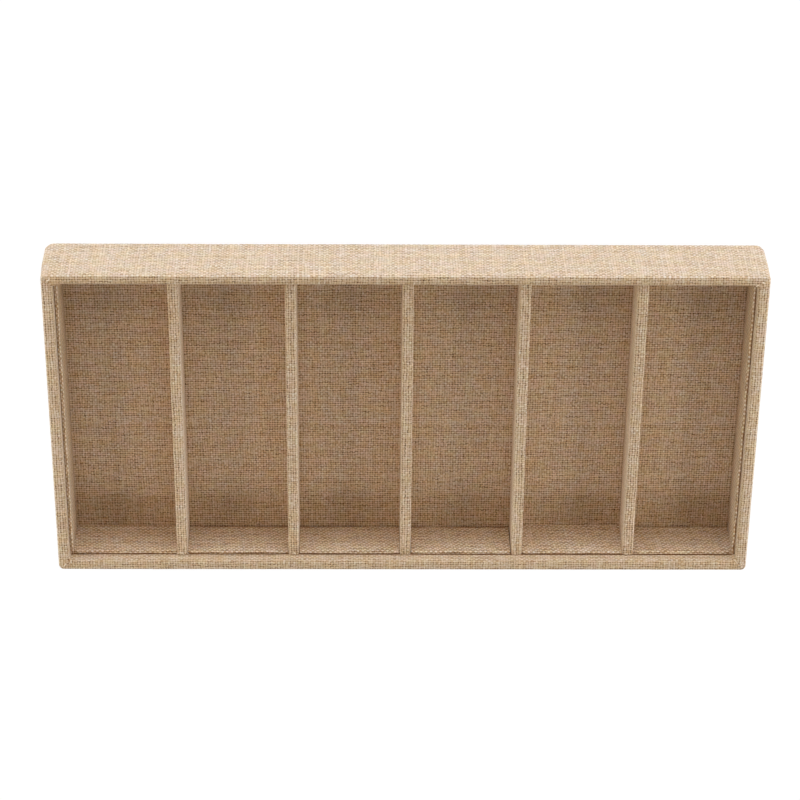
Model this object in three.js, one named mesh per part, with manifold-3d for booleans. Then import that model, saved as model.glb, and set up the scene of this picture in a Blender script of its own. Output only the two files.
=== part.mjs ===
// A shallow tray for sunglasses: long cells side by side, every board and card covered in woven linen.
// Millimetres, Z up out of the cells, X along the row of cells, origin at the middle of the underside.
// It goes together as on a bench: a finger-jointed frame stands on a base board, dividers are tabbed
// through the long walls, one strip of linen wraps the frame, and covered cards line the inside.
import * as THREE from 'three';
import { mergeVertices } from 'three/addons/utils/BufferGeometryUtils.js';
import Module from 'manifold-3d';

const wasm = await Module();
wasm.setup();

// The cells, clear inside the linen
const cellCount = 6;
const cellWidth = 52.95; // along X
const cellLength = 161.2; // along Y
const cellDepth = 29.8; // floor up to the rim
const gridShift = -1.2; // the dividers were set this far off the middle, along X

// Stock that the pieces are cut from
const linen = 0.55;
const wallBoard = 4.2;
const dividerBoard = 4.2;
const baseBoard = 1.6;
const floorCard = 0.5;
const linerCard = 0.3;
const felt = 0.6;
const glue = 0.1; // adhesive between two glued faces

// Rounded edges, over the linen
const cornerRadius = 2.5; // the four upright corners
const rimRadius = 1.8; // edges of the covered wall
const dividerRadius = 1.1; // top edges of the dividers
const linerRadius = 0.7; // top edges of the liners

// How far the linen is turned past an edge, and the felt's distance from the outside
const rimTurn = 12;
const hemTurn = 14;
const floorTurn = 12;
const linerTurn = 8;
const feltMargin = 4;

// Heights and open joints of the lining
const dividerRecess = 5.9; // rim down to the top of a divider
const dividerEndGap = 0.4; // between a divider and the wall's cover
const linerRecess = 6; // rim down to the top of a liner
const linerGap = 0.3; // between the wall's cover and a liner
const linerEndGap = 0.3; // between a liner and its neighbour
const linerCardInset = 0.5; // end of a liner's linen back to its card
const panelGap = 0.3; // floor panel to the frame around it

// Joints in the boards
const fingerCount = 5; // up each corner of the frame
const jointGap = 0.1; // clearance beside a finger, foot or tab
const footLength = 24; // feet of the walls, let into the edge of the base board
const longWallFeet = 4;
const endWallFeet = 2;
const tabHeight = 9; // tabs of the dividers, let through the long walls
const tabRise = 3; // divider's bottom edge up to its tab

// Depths in from the outside of the tray
const boardOuter = linen + glue;
const boardInner = boardOuter + wallBoard;
const wallInner = boardInner + glue + linen;
const linerThickness = linen + glue + linerCard + glue + linen;
const linerBack = wallInner + linerGap;
const linerFace = linerBack + linerThickness;
const panelEdge = boardInner + panelGap;
const dividerThickness = linen + glue + dividerBoard + glue + linen;

// Levels, from the underside up
const hemBottom = felt + glue;
const baseBottom = hemBottom + linen + glue;
const baseTop = baseBottom + baseBoard;
const wallBottom = baseTop + glue;
const panelBottom = baseTop + glue;
const floorCardBottom = panelBottom + linen + glue;
const floorCardTop = floorCardBottom + floorCard;
const floorTop = floorCardTop + glue + linen;
const standing = floorTop + glue; // bottom of whatever stands on the floor panel
const trayHeight = floorTop + cellDepth;
const wallTop = trayHeight - linen - glue;
const dividerTop = trayHeight - dividerRecess;
const linerTop = trayHeight - linerRecess;

// The row of cells and the outside around it
const gridLength = cellCount * cellWidth + (cellCount - 1) * dividerThickness;
const trayLength = gridLength + 2 * linerFace;
const trayWidth = cellLength + 2 * linerFace;
const dividerLength = trayWidth - 2 * (wallInner + dividerEndGap);
const dividerX = (i) => (i - cellCount / 2) * (cellWidth + dividerThickness) + gridShift;
const cellStart = (i) => (i === 1 ? -gridLength / 2 : dividerX(i - 1) + dividerThickness / 2);
const cellEnd = (i) => (i === cellCount ? gridLength / 2 : dividerX(i) - dividerThickness / 2);
const dividerNumbers = Array.from({ length: cellCount - 1 }, (_, i) => i + 1);

// Finish of each stock
const linenCloth = new THREE.MeshStandardMaterial({ color: 0xc9ac86, roughness: 0.95, metalness: 0 });
const fibreboard = new THREE.MeshStandardMaterial({ color: 0xa9835a, roughness: 0.85, metalness: 0 });
const greyCard = new THREE.MeshStandardMaterial({ color: 0x9c968b, roughness: 0.9, metalness: 0 });
const backingFelt = new THREE.MeshStandardMaterial({ color: 0xb7a084, roughness: 1, metalness: 0 });

const cornerSteps = 4; // straight pieces around an upright corner
const edgeDivisions = 2; // each gives two straight pieces across a rounded edge
const past = 5; // how far a cutting block runs past the face that it opens
const quarterTurn = Math.PI / 2;

const span = (middle, length) => [middle - length / 2, middle + length / 2];

// Boolean work on closed meshes

function toSolid(geometry) {
  geometry.deleteAttribute('normal');
  geometry.deleteAttribute('uv');
  const merged = mergeVertices(geometry);
  const vertProperties = merged.attributes.position.array;
  const triVerts = new Uint32Array(merged.index.array);
  return new wasm.Manifold(new wasm.Mesh({ numProp: 3, vertProperties, triVerts }));
}

function toGeometry(solid) {
  const { vertProperties, triVerts } = solid.getMesh();
  const geometry = new THREE.BufferGeometry();
  geometry.setAttribute('position', new THREE.BufferAttribute(vertProperties, 3));
  geometry.setIndex(new THREE.BufferAttribute(triVerts, 1));
  geometry.computeVertexNormals();
  return geometry;
}

const cutAway = (solid, cutters) => cutters.reduce((rest, cutter) => rest.subtract(cutter), solid);

// Basic shapes

function blockGeometry([x0, x1], [y0, y1], [z0, z1]) {
  const geometry = new THREE.BoxGeometry(x1 - x0, y1 - y0, z1 - z0);
  return geometry.translate((x0 + x1) / 2, (y0 + y1) / 2, (z0 + z1) / 2);
}

const extruded = (shape, depth) =>
  new THREE.ExtrudeGeometry(shape, { depth, curveSegments: cornerSteps, bevelEnabled: false });

// The plan outline at some depth in from the outside, with each corner rounded in so many steps
function planPoints(depth, steps) {
  const radius = Math.max(cornerRadius - depth, 0);
  const centreX = trayLength / 2 - depth - radius;
  const centreY = trayWidth / 2 - depth - radius;
  const corners = [[1, 1], [-1, 1], [-1, -1], [1, -1]];
  return corners.flatMap(([sideX, sideY], corner) =>
    Array.from({ length: steps + 1 }, (_, i) => {
      const angle = (corner + (steps ? i / steps : 0)) * quarterTurn;
      const x = sideX * centreX + radius * Math.cos(angle);
      const y = sideY * centreY + radius * Math.sin(angle);
      return new THREE.Vector2(x, y);
    }),
  );
}

// A plate that reaches out to some depth, between two levels
function plate(depth, [z0, z1]) {
  const outline = planPoints(depth, depth < cornerRadius ? cornerSteps : 0);
  return toSolid(extruded(new THREE.Shape(outline), z1 - z0).translate(0, 0, z0));
}

// A section drawn as depth in from the outside and level, carried once around the tray
function carriedAround(section) {
  const outline = section.getPoints(edgeDivisions);
  const rings = outline.map((point) => planPoints(point.x, cornerSteps));
  const count = rings[0].length;
  const positions = rings.flatMap((ring, i) => ring.flatMap((point) => [point.x, point.y, outline[i].y]));
  const index = [];
  for (let i = 0; i < rings.length; i += 1) {
    const here = i * count;
    const next = ((i + 1) % rings.length) * count;
    for (let j = 0; j < count; j += 1) {
      const k = (j + 1) % count;
      index.push(here + j, next + k, here + k);
      index.push(here + j, next + j, next + k);
    }
  }
  const geometry = new THREE.BufferGeometry();
  geometry.setAttribute('position', new THREE.Float32BufferAttribute(positions, 3));
  geometry.setIndex(index);
  return withoutFlatTriangles(mergeVertices(geometry));
}

// Where a corner has turned sharp its steps fall on one point, and the triangles between them are dropped
function withoutFlatTriangles(geometry) {
  const { array } = geometry.index;
  const kept = [];
  for (let i = 0; i < array.length; i += 3) {
    const [a, b, c] = array.slice(i, i + 3);
    if (a !== b && b !== c && c !== a) kept.push(a, b, c);
  }
  geometry.setIndex(kept);
  geometry.computeVertexNormals();
  return geometry;
}

// Cloth over a sharp board edge can only be as round as its own thickness allows
const roundingLimit = 3 * linen;

// Linen folded over the top of a board: an upside-down U whose back leg may be shorter
function foldedLinen(thickness, [low, high], backLow, edgeRadius) {
  const half = thickness / 2;
  const radius = Math.min(edgeRadius, roundingLimit, half - glue);
  const shape = new THREE.Shape();
  shape.moveTo(half, low);
  shape.lineTo(half, high - radius);
  shape.absarc(half - radius, high - radius, radius, 0, quarterTurn);
  shape.lineTo(-half + radius, high);
  shape.absarc(-half + radius, high - radius, radius, quarterTurn, 2 * quarterTurn);
  shape.lineTo(-half, backLow);
  shape.lineTo(-half + linen, backLow);
  shape.lineTo(-half + linen, high - linen);
  shape.lineTo(half - linen, high - linen);
  shape.lineTo(half - linen, low);
  return shape;
}

const tray = new THREE.Group();

function addPiece(name, geometry, material, parent = tray) {
  const mesh = new THREE.Mesh(geometry, material);
  mesh.name = name;
  parent.add(mesh);
  return mesh;
}

// A shape drawn in a wall's own section, then run along X
function runAlongX(mesh, start) {
  mesh.rotation.set(quarterTurn, quarterTurn, 0);
  mesh.position.x = start;
}

// Frame walls, finger-jointed at the corners and standing on the base board

const walls = {
  front: { alongX: true, side: -1, feet: longWallFeet, firstPocket: 1, slotted: true },
  rear: { alongX: true, side: 1, feet: longWallFeet, firstPocket: 1, slotted: true },
  left: { alongX: false, side: -1, feet: endWallFeet, firstPocket: 0, slotted: false },
  right: { alongX: false, side: 1, feet: endWallFeet, firstPocket: 0, slotted: false },
};

const wallLength = (wall) => (wall.alongX ? trayLength : trayWidth);

// A block placed along a wall, between two depths in from its outside
function wallBlock({ alongX, side }, along, [outer, inner], levels) {
  const reach = (alongX ? trayWidth : trayLength) / 2;
  const across = [side * (reach - outer), side * (reach - inner)].sort((a, b) => a - b);
  return toSolid(alongX ? blockGeometry(along, across, levels) : blockGeometry(across, along, levels));
}

const throughWall = [-past, boardInner + past];

// Pockets at both ends of a wall, for every second finger of its neighbours
function fingerPockets(wall) {
  const end = wallLength(wall) / 2;
  const shoulder = end - boardInner - jointGap;
  const fingerHeight = (wallTop - wallBottom) / fingerCount;
  const pockets = [];
  for (let i = wall.firstPocket; i < fingerCount; i += 2) {
    const levels = span(wallBottom + (i + 0.5) * fingerHeight, fingerHeight + jointGap);
    pockets.push(wallBlock(wall, [shoulder, end + past], throughWall, levels));
    pockets.push(wallBlock(wall, [-end - past, -shoulder], throughWall, levels));
  }
  return pockets;
}

// Middles of a wall's feet, spread evenly between the corners
function footPlaces(wall) {
  const clear = wallLength(wall) - 2 * boardInner;
  return Array.from({ length: wall.feet }, (_, i) => ((i + 0.5) / wall.feet - 0.5) * clear);
}

// The open stretches of a wall's bottom edge, between its feet and out to both corners
function footGaps(wall) {
  const end = wallLength(wall) / 2 + past;
  const places = footPlaces(wall);
  const starts = [-end, ...places.map((place) => place + footLength / 2)];
  const ends = [...places.map((place) => place - footLength / 2), end];
  const levels = [baseBottom - past, wallBottom];
  return starts.map((start, i) => wallBlock(wall, [start, ends[i]], throughWall, levels));
}

const tabLevels = [standing + tabRise, standing + tabRise + tabHeight];

// Slots in a long wall for the tabs of the dividers
function tabSlots(wall) {
  const levels = [tabLevels[0] - jointGap, tabLevels[1] + jointGap];
  const width = dividerBoard + 2 * jointGap;
  return dividerNumbers.map((i) => wallBlock(wall, span(dividerX(i), width), throughWall, levels));
}

function wallSolid(wall) {
  const levels = [baseBottom, wallTop];
  const side = wallBlock(wall, span(0, 2 * wallLength(wall)), [-past, boardInner], span(0, 4 * trayHeight));
  const blank = plate(boardOuter, levels).intersect(side);
  const slots = wall.slotted ? tabSlots(wall) : [];
  return cutAway(blank, [...fingerPockets(wall), ...footGaps(wall), ...slots]);
}

for (const [name, wall] of Object.entries(walls)) {
  addPiece(`${name}_wall_board`, toGeometry(wallSolid(wall)), fibreboard);
}

// Base board, notched for the walls' feet, and the felt under it

function footNotches(wall) {
  const depths = [-past, boardInner + jointGap];
  const levels = [baseBottom - past, baseTop + past];
  const length = footLength + 2 * jointGap;
  return footPlaces(wall).map((place) => wallBlock(wall, span(place, length), depths, levels));
}

const baseBlank = plate(boardOuter, [baseBottom, baseTop]);
const baseSolid = cutAway(baseBlank, Object.values(walls).flatMap(footNotches));
addPiece('base_board', toGeometry(baseSolid), fibreboard);
addPiece('underside_felt', toGeometry(plate(feltMargin, [0, felt])), backingFelt);

// Outer cover: one strip of linen, under the base, up the outside, over the rim and down inside it

function outerCoverSection() {
  const radius = Math.min(rimRadius, roundingLimit);
  const section = new THREE.Shape();
  section.moveTo(hemTurn, hemBottom);
  section.lineTo(hemTurn, hemBottom + linen);
  section.lineTo(linen, hemBottom + linen);
  section.lineTo(linen, trayHeight - linen);
  section.lineTo(wallInner - linen, trayHeight - linen);
  section.lineTo(wallInner - linen, trayHeight - rimTurn);
  section.lineTo(wallInner, trayHeight - rimTurn);
  section.lineTo(wallInner, trayHeight - radius);
  section.absarc(wallInner - radius, trayHeight - radius, radius, 0, quarterTurn);
  section.lineTo(radius, trayHeight);
  section.absarc(radius, trayHeight - radius, radius, quarterTurn, 2 * quarterTurn);
  section.lineTo(0, hemBottom + radius);
  section.absarc(radius, hemBottom + radius, radius, 2 * quarterTurn, 3 * quarterTurn);
  return section;
}

addPiece('outer_cover', carriedAround(outerCoverSection()), linenCloth);

// Floor panel: a card wrapped in linen, laid on the base board

function floorCoverSolid() {
  const wrapped = plate(panelEdge, [panelBottom, floorTop]);
  const inside = plate(panelEdge + linen, [panelBottom + linen, floorTop - linen]);
  const opening = plate(panelEdge + floorTurn, [panelBottom - past, floorCardBottom]);
  return cutAway(wrapped, [inside, opening]);
}

const floorCardSolid = plate(panelEdge + linen + glue, [floorCardBottom, floorCardTop]);
addPiece('floor_card', toGeometry(floorCardSolid), greyCard);
addPiece('floor_cover', toGeometry(floorCoverSolid()), linenCloth);

// Dividers: a board with a tab at each end, and linen folded over it

function dividerBoardShape() {
  const end = dividerLength / 2;
  const tip = trayWidth / 2 - boardOuter;
  const high = dividerTop - linen - glue;
  const [tabLow, tabHigh] = tabLevels;
  const half = [[end, standing], [end, tabLow], [tip, tabLow], [tip, tabHigh], [end, tabHigh], [end, high]];
  const otherHalf = half.map(([y, z]) => [-y, z]).reverse();
  return new THREE.Shape([...half, ...otherHalf].map(([y, z]) => new THREE.Vector2(y, z)));
}

const dividerGeometry = extruded(dividerBoardShape(), dividerBoard);
const dividerSection = foldedLinen(dividerThickness, [standing, dividerTop], standing, dividerRadius);
const dividerLinen = extruded(dividerSection, dividerLength);

for (const i of dividerNumbers) {
  const divider = new THREE.Group();
  divider.position.x = dividerX(i);
  runAlongX(addPiece(`divider_board_${i}`, dividerGeometry, fibreboard, divider), -dividerBoard / 2);
  const cover = addPiece(`divider_cover_${i}`, dividerLinen, linenCloth, divider);
  cover.rotation.x = quarterTurn;
  cover.position.y = dividerLength / 2;
  tray.add(divider);
}

// Liners: cards with linen folded over the top, between the dividers and along both ends

const linerSection = foldedLinen(linerThickness, [standing, linerTop], linerTop - linerTurn, linerRadius);
const cardLevels = [standing, linerTop - linen - glue];

function addLiner(name, wallFrame, middle, length) {
  const liner = new THREE.Group();
  liner.position.set(middle, linerBack + linerThickness / 2, 0);
  runAlongX(addPiece(`${name}_cover`, extruded(linerSection, length), linenCloth, liner), -length / 2);
  const card = blockGeometry(span(0, length - 2 * linerCardInset), span(0, linerCard), cardLevels);
  addPiece(`${name}_card`, card, greyCard, liner);
  wallFrame.add(liner);
}

// A wall's own frame: its outside at Y = 0, with Y running in towards the cells
function wallFrame(turn, reach) {
  const frame = new THREE.Group();
  frame.rotation.z = turn;
  frame.position.set(Math.sin(turn) * reach, -Math.cos(turn) * reach, 0);
  tray.add(frame);
  return frame;
}

const frontFrame = wallFrame(0, trayWidth / 2);
const rearFrame = wallFrame(2 * quarterTurn, trayWidth / 2);
const rightFrame = wallFrame(quarterTurn, trayLength / 2);
const leftFrame = wallFrame(-quarterTurn, trayLength / 2);

for (let i = 1; i <= cellCount; i += 1) {
  const middle = (cellStart(i) + cellEnd(i)) / 2;
  const length = cellEnd(i) - cellStart(i) - 2 * linerEndGap;
  addLiner(`front_liner_${i}`, frontFrame, middle, length);
  addLiner(`rear_liner_${i}`, rearFrame, -middle, length);
}

const endLinerLength = trayWidth - 2 * linerBack;
addLiner('left_liner', leftFrame, 0, endLinerLength);
addLiner('right_liner', rightFrame, 0, endLinerLength);

export default tray;
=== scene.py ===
import math

import bpy
from mathutils import Euler, Matrix, Vector, noise


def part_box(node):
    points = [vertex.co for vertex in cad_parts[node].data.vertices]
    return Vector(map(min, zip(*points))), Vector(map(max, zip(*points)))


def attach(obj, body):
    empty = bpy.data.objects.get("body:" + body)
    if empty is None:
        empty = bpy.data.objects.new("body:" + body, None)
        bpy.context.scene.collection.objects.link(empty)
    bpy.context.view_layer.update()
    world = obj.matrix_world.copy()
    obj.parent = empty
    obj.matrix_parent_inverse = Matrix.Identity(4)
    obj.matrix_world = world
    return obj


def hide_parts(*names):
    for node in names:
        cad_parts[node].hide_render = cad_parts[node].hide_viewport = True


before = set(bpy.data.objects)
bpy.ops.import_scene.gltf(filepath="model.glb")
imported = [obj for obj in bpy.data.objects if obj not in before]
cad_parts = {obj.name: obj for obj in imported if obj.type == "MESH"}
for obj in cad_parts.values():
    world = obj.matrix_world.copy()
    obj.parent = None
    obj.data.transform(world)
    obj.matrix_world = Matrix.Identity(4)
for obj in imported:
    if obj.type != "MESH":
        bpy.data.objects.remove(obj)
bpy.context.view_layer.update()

print("frame loaded,", len(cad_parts), "nodes")


# node maths

# an operator and its reflected form, each of which adds a Math node
def bothWays(operation):
    def forward(self, other):
        return self.maths(operation, self, other)

    def reflected(self, other):
        return self.maths(operation, other, self)

    return forward, reflected


class Wire:
    # one socket of a node tree; sums on wires add Math nodes
    def __init__(self, tree, socket=None):
        self.tree = tree
        self.socket = socket

    def add(self, kind, settings=None, sockets=None, output=0):
        node = self.tree.nodes.new(kind)
        for name, value in (settings or {}).items():
            if name == "stops":
                setStops(node.color_ramp, value)
            else:
                setattr(node, name, value)
        for name, value in (sockets or {}).items():
            target = findSocket(node.inputs, name)
            if isinstance(value, Wire):
                self.tree.links.new(value.socket, target)
            else:
                target.default_value = value
        return Wire(self.tree, findSocket(node.outputs, output) if len(node.outputs) else None)

    def out(self, name):
        return Wire(self.tree, findSocket(self.socket.node.outputs, name))

    def maths(self, operation, *values):
        return self.add("ShaderNodeMath", {"operation": operation}, dict(enumerate(values)))

    def clip(self):
        return self.add("ShaderNodeClamp", None, {"Value": self})

    def cos(self):
        return self.maths("COSINE", self)

    def sin(self):
        return self.maths("SINE", self)

    def floor(self):
        return self.maths("FLOOR", self)

    def mix(self, factor, first, second, blend="MIX"):
        settings = {"data_type": "RGBA", "blend_type": blend}
        sockets = {"Factor": factor, "A": first, "B": second}
        return self.add("ShaderNodeMix", settings, sockets, "Result")

    def __abs__(self):
        return self.maths("ABSOLUTE", self)

    __add__, __radd__ = bothWays("ADD")
    __sub__, __rsub__ = bothWays("SUBTRACT")
    __mul__, __rmul__ = bothWays("MULTIPLY")
    __truediv__, __rtruediv__ = bothWays("DIVIDE")
    __mod__, __rmod__ = bothWays("FLOORED_MODULO")
    __pow__, __rpow__ = bothWays("POWER")
    __gt__, __lt__ = bothWays("GREATER_THAN")


def findSocket(sockets, key):
    if isinstance(key, int):
        return sockets[key]
    return [s for s in sockets if s.name == key and s.enabled][0]


def setStops(ramp, stops):
    while len(ramp.elements) > 1:
        ramp.elements.remove(ramp.elements[-1])
    ramp.elements[0].position, ramp.elements[0].color = stops[0]
    for place, colour in stops[1:]:
        ramp.elements.new(place).color = colour


# materials

def newMaterial(name):
    mat = bpy.data.materials.new(name)
    mat.use_nodes = True
    mat.node_tree.nodes.clear()
    return mat, Wire(mat.node_tree)


def surfaceOf(pen, **values):
    sockets = {name.replace("_", " "): value for name, value in values.items()}
    shader = pen.add("ShaderNodeBsdfPrincipled", None, sockets)
    pen.add("ShaderNodeOutputMaterial", None, {"Surface": shader})


def cloud(pen, place, scale, detail=2.0, output="Fac", dims="2D"):
    sockets = {"Vector": place, "Scale": scale, "Detail": detail}
    return pen.add("ShaderNodeTexNoise", {"noise_dimensions": dims}, sockets, output)


# three noises at once, as Red, Green and Blue
def clouds(pen, place, scale, detail):
    colour = cloud(pen, place, scale, detail, "Color")
    return pen.add("ShaderNodeSeparateColor", None, {"Color": colour})


def spot(pen, x, y, z=0.0):
    return pen.add("ShaderNodeCombineXYZ", None, {"X": x, "Y": y, "Z": z})


white = (1, 1, 1, 1)

linen = dict(
    thick=0.00055,  # one layer of cloth
    pitchU=0.00131,  # yarn spacing each way
    pitchV=0.00129,
    wander=0.9,  # how far the yarns stray together, in yarns
    wanderScale=38.0,
    drift=0.80,  # how far one yarn strays from its neighbours
    driftScale=0.17,  # and how soon along its length
    slub=0.30,  # thick and thin places along a yarn
    uneven=0.03,  # thick and thin yarns
    # yarns along v, then yarns along u: half width, roundness, wave
    warp=dict(width=0.365, crown=0.20, lift=0.88, seed=11.3),
    weft=dict(width=0.385, crown=0.75, lift=0.91, seed=57.9),
    knotLift=0.4,  # how unevenly the yarns stand up at the crossings
    gapDepth=-0.5,  # bottom of the gaps between the yarns
    yarns=[(0.26, (0.572, 0.39, 0.230, 1)), (0.42, (0.766, 0.60, 0.4215, 1)),
           (0.55, (0.874, 0.725, 0.5525, 1)), (0.74, (0.943, 0.86, 0.723, 1))],
    toneBase=0.50, toneOwn=0.14, toneStain=0.21, toneKnot=0.13,
    toneWarp=0.07,  # on lying faces the yarns along v are paler
    toneWeft=0.055,  # on standing faces, seen across the weave, the yarns along u are
    fibreScale=6.0, fibreTone=0.12, fibreRelief=0.35,
    blotchScale=150.0,
    dullFrom=0.36, dullGain=3.6,
    dull=(0.98, 0.968, 0.952, 1),
    hueGain=3.2, hueOwn=0.22,  # change of hue from place to place, and from yarn to yarn
    warm=(1.004, 1.0, 0.954, 1), cool=(0.996, 1.0, 1.046, 1),
    rosy=(1.014, 0.994, 0.993, 1), olive=(0.986, 1.006, 1.007, 1),
    # painted shade in the weave: the dips between the yarns are darkened by their depth
    shadeLow=-0.1, shadeHigh=1.2,
    shadeLying=0.415, shadeStanding=0.51,  # how light the painted shade in the dips stays, on lying and on standing cloth
    warmth=(0.61, 1.0, 1.56),  # the painted shade turns warmer as it darkens, a painted stand-in for light bounced between the yarns
    # painted shade seen through the holes between the yarns
    holeShade=(0.118, 0.057, 0.024, 1),
    holeFade=0.3,
    holeStanding=0.60,  # share of a hole that is seen across the weave
    lining=(0.86, 0.80, 0.68, 1),  # painted shade and warm bounce light: the cloth inside the cells is darker and warmer, glue and painted shade darken it further down in the joints, and a painted shadow is darkest in the gap at a liner's foot
    glueShade=(0.75, 0.45, 0.23, 1),  # browned by glue down in the joints,
    gapShadow=(0.30, 0.26, 0.22, 1),  # and darkest in the gap at a liner's foot
    bump=0.00022,
    # what bold cloth has more of: even yarns, pale yarns along u, darker painted shade in the dips, more
    # painted shade in the holes
    bold=dict(calm=0.14, weft=0.05, lying=0.04, standing=0.15, holeShade=0.3),
    outside=dict(boldness=0.0, swing=1.5),  # swing widens the change of hue
    # the cloth inside the cells is bolder, with deeper painted shade in its dips and holes
    inside=dict(boldness=1.2, swing=1.9),
    slopes=(0.55, 0.98),  # between these, standing cloth turns into lying cloth
    sharp=55.0,  # a fold of more degrees shows as an edge
)


# parallel yarns: the height of their tops, how pale each is, and its own hue
def yarnSet(pen, yarn, number, across, along, wave):
    seed = yarn["seed"]
    own = pen.add("ShaderNodeTexWhiteNoise", {"noise_dimensions": "1D"}, {"W": number + seed}, "Value")
    strip = spot(pen, number * 7.31 + seed, along * linen["driftScale"])  # each yarn has its own noise
    change = clouds(pen, strip, 1.0, 2.0)
    middle = across + (change.out("Red") - 0.5) * linen["drift"]
    width = yarn["width"] + (own - 0.5) * linen["uneven"] + (change.out("Green") - 0.5) * linen["slub"]
    reach = middle / width
    crown = (1 - reach * reach).clip() ** 0.5
    beside = 1 - (crown > 0.0)
    top = crown * yarn["crown"] + wave * yarn["lift"] - beside * 3  # far down where the yarn is not
    tone = (own - 0.5) * linen["toneOwn"] + (change.out("Blue") - 0.5) * linen["toneStain"]
    hue = (own * 7.0) % 1.0
    return top, tone, hue


def tinted(colour, swing):
    return [1 + (c - 1) * swing for c in colour[:3]] + [1]


# multiplies a colour by one that goes from first to second
def stained(pen, colour, share, first, second):
    return pen.mix(1.0, colour, pen.mix(share, first, second), "MULTIPLY")


# a plain weave on the cloth's own flat pattern, with painted shade in its dips and holes, and painted
# shade and glue where the lining mark says
def linenMaterial(name, boldness, swing):
    mat, pen = newMaterial(name)
    more = {key: amount * boldness for key, amount in linen["bold"].items()}
    place = pen.add("ShaderNodeUVMap", {"uv_map": "weave"})
    standing = pen.add("ShaderNodeAttribute", {"attribute_name": "standing"}, None, "Fac")
    lining = pen.add("ShaderNodeAttribute", {"attribute_name": "lining"}, None, "Fac")
    metres = pen.add("ShaderNodeSeparateXYZ", None, {"Vector": place})
    stray = clouds(pen, place, linen["wanderScale"], 2.0)
    x = metres.out("X") / linen["pitchU"] + (stray.out("Red") - 0.5) * linen["wander"]
    y = metres.out("Y") / linen["pitchV"] + (stray.out("Green") - 0.5) * linen["wander"]
    column, row = x.floor(), y.floor()
    offX, offY = x - column - 0.5, y - row - 0.5
    crossing = spot(pen, column, row)
    knot = pen.add("ShaderNodeTexWhiteNoise", {"noise_dimensions": "2D"}, {"Vector": crossing}, "Value")
    over = 1 - (column + row) % 2 * 2  # 1 where the yarn along v is on top, -1 where it dives
    over = over * (1 + (knot - 0.5) * linen["knotLift"])
    warpWave = over * (offY * math.pi).cos()
    weftWave = over * (offX * math.pi).cos() * -1
    warpTop, warpTone, warpHue = yarnSet(pen, linen["warp"], column, offX, y, warpWave)
    weftTop, weftTone, weftHue = yarnSet(pen, linen["weft"], row, offY, x, weftWave)
    height = pen.maths("MAXIMUM", pen.maths("MAXIMUM", warpTop, weftTop), linen["gapDepth"])
    warpShows = warpTop > weftTop
    # each yarn's colour, with its fibres
    tone = weftTone + (warpTone - weftTone) * warpShows
    tone = tone * (1 - more["calm"]) + linen["toneBase"]
    paler = linen["toneWarp"] - standing * (linen["toneWarp"] + linen["toneWeft"] + more["weft"])
    tone = tone + (knot - 0.5) * linen["toneKnot"] + (warpShows - 0.5) * 2 * paler
    fibre = cloud(pen, spot(pen, x, y), linen["fibreScale"], 3.0)
    tone = tone + (fibre - 0.5) * linen["fibreTone"]
    colour = pen.add("ShaderNodeValToRGB", {"stops": linen["yarns"]}, {"Fac": tone}, "Color")
    # dull and tinted blotches
    blotch = clouds(pen, place, linen["blotchScale"], 3.0)
    dull = ((blotch.out("Red") - linen["dullFrom"]) * linen["dullGain"]).clip()
    colour = stained(pen, colour, dull, linen["dull"], white)
    hue = weftHue + (warpHue - weftHue) * warpShows
    for channel, first, second in (("Green", "warm", "cool"), ("Blue", "rosy", "olive")):
        share = (blotch.out(channel) - 0.5) * linen["hueGain"] + 0.5
        share = (share + (hue - 0.5) * linen["hueOwn"]).clip()
        colour = stained(pen, colour, share, tinted(linen[first], swing), tinted(linen[second], swing))
    # painted shade in the dips between the yarns and in the holes
    shade = ((height - linen["shadeLow"]) / (linen["shadeHigh"] - linen["shadeLow"])).clip()
    lying = linen["shadeLying"] - more["lying"]
    least = lying + standing * (linen["shadeStanding"] - more["standing"] - lying)
    shade = shade * (1 - least) + least
    dips = {channel: shade ** power for channel, power in zip(("Red", "Green", "Blue"), linen["warmth"])}
    shade = pen.add("ShaderNodeCombineColor", None, dips)
    colour = pen.mix(1.0, colour, shade, "MULTIPLY")
    seen = min(1, linen["holeStanding"] + more["holeShade"])
    holeShade = ((linen["shadeLow"] - height) / linen["holeFade"]).clip() * (1 - standing * (1 - seen))
    colour = pen.mix(holeShade, colour, linen["holeShade"])
    for mark, key in enumerate(("lining", "glueShade", "gapShadow")):  # lining counts up through these: painted shade inside the cells, glue and painted shade in the joints, painted shadow in a liner's foot gap
        colour = stained(pen, colour, lining - mark, white, linen[key])
    height = height + (fibre - 0.5) * linen["fibreRelief"]
    relief = pen.add("ShaderNodeBump", None, {
        "Strength": 0.5, "Distance": linen["bump"], "Height": height})
    surfaceOf(pen, Base_Color=colour, Roughness=0.93, Normal=relief, Sheen_Weight=0.22,
              Sheen_Roughness=0.55, Specular_IOR_Level=0.18)
    return mat


# grain is the length of the fibres that show
board = dict(
    stops=[(0.30, (0.27, 0.17, 0.09, 1)), (0.50, (0.40, 0.27, 0.155, 1)),
           (0.72, (0.52, 0.38, 0.23, 1))],
    grain=0.0006, bump=0.00006, roughness=0.85, stretch=(1, 1, 2.5),
)
card = dict(
    stops=[(0.30, (0.20, 0.195, 0.18, 1)), (0.52, (0.33, 0.325, 0.30, 1)),
           (0.70, (0.46, 0.45, 0.42, 1))],
    grain=0.0011, bump=0.00004, roughness=0.9, stretch=(1, 1.4, 1),
)
felt = dict(
    stops=[(0.30, (0.33, 0.25, 0.17, 1)), (0.52, (0.44, 0.34, 0.24, 1)),
           (0.74, (0.55, 0.44, 0.325, 1))],
    grain=0.0009, bump=0.00020, roughness=0.97, stretch=(1, 0.6, 1), sheen=0.4,
)
pressed = dict(
    fineShare=0.72, broadShare=0.28, broadScale=60.0,
    fleckScale=0.45, fleckSize=0.16, fleckDepth=0.9,
)


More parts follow.
